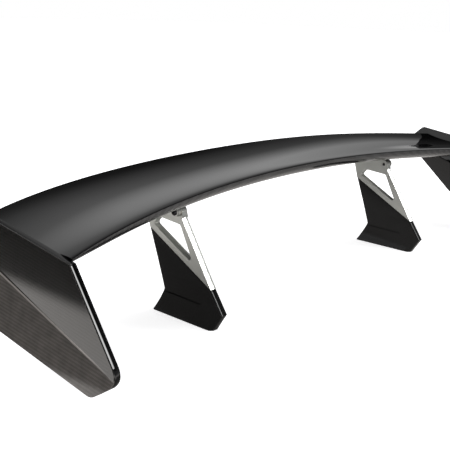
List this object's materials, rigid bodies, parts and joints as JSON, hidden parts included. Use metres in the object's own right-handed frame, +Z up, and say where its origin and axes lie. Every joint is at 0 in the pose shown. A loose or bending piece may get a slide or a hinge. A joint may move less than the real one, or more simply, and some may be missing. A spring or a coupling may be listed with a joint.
{
  "type": "racing rear wing",
  "caption": "Bowed hollow carbon rear wing with leaning end plates, tilting on milled aluminium uprights that stand in black foot covers.",
  "frame": {"origin": "centre of the four mounting bolts, on the mounting face under the two feet", "axes": "+X along the span to the wing's left end, -Y towards the leading edge, +Z up from the mounting face"},
  "size_m": [1.5452, 0.4462, 0.281],
  "materials": {
    "gloss_black_lacquer": "high gloss lacquer over carbon laminate",
    "carbon_twill": "clear coated two by two twill carbon weave",
    "carbon_inner": "bare cured laminate",
    "milled_aluminium": "fine satin, milled and brushed",
    "foam": "closed cell core foam",
    "dark_steel": "black oxide",
    "bright_steel": "zinc plated",
    "bronze": "plain turned bronze",
    "satin_black": "moulded, half gloss",
    "black_rubber": "matt closed cell rubber"
  },
  "bodies": {
    "uprights": {"bracket_left": "milled_aluminium", "bracket_right": "milled_aluminium", "foot_cover_left": "satin_black", "foot_cover_right": "satin_black", "base_plate_left": "milled_aluminium", "base_plate_right": "milled_aluminium", "gasket_left": "black_rubber", "gasket_right": "black_rubber", "base_screws_left": "bright_steel", "base_screws_right": "bright_steel", "cover_screws_left": "dark_steel", "cover_screws_right": "dark_steel", "pivot_bolt_left": "dark_steel", "pivot_bolt_right": "dark_steel", "pivot_washer_left": "bright_steel", "pivot_washer_right": "bright_steel", "clamp_bolt_left": "dark_steel", "clamp_bolt_right": "dark_steel", "clamp_washer_left": "bright_steel", "clamp_washer_right": "bright_steel"},
    "blade": {"upper_skin": "gloss_black_lacquer", "lower_skin": "carbon_twill", "front_spar": "carbon_inner", "rear_spar": "carbon_inner", "plain_ribs": "carbon_inner", "hinge_rib_left": "milled_aluminium", "hinge_rib_right": "milled_aluminium", "end_rib_left": "carbon_inner", "end_rib_right": "carbon_inner", "plate_skin_left": "carbon_twill", "plate_skin_right": "carbon_twill", "plate_shell_left": "gloss_black_lacquer", "plate_shell_right": "gloss_black_lacquer", "plate_core_left": "foam", "plate_core_right": "foam", "hanger_left": "milled_aluminium", "hanger_right": "milled_aluminium", "pivot_bush_left": "bronze", "pivot_bush_right": "bronze", "hanger_bolts_left": "dark_steel", "hanger_bolts_right": "dark_steel", "hanger_nuts_left": "bright_steel", "hanger_nuts_right": "bright_steel"}
  },
  "joints": [
    {"name": "blade_tilt", "type": "hinge", "parent": "uprights", "child": "blade", "pos_m": [0, 0.013, 0.215], "axis": [1, 0, 0], "range_deg": [0, 12]}
  ]
}
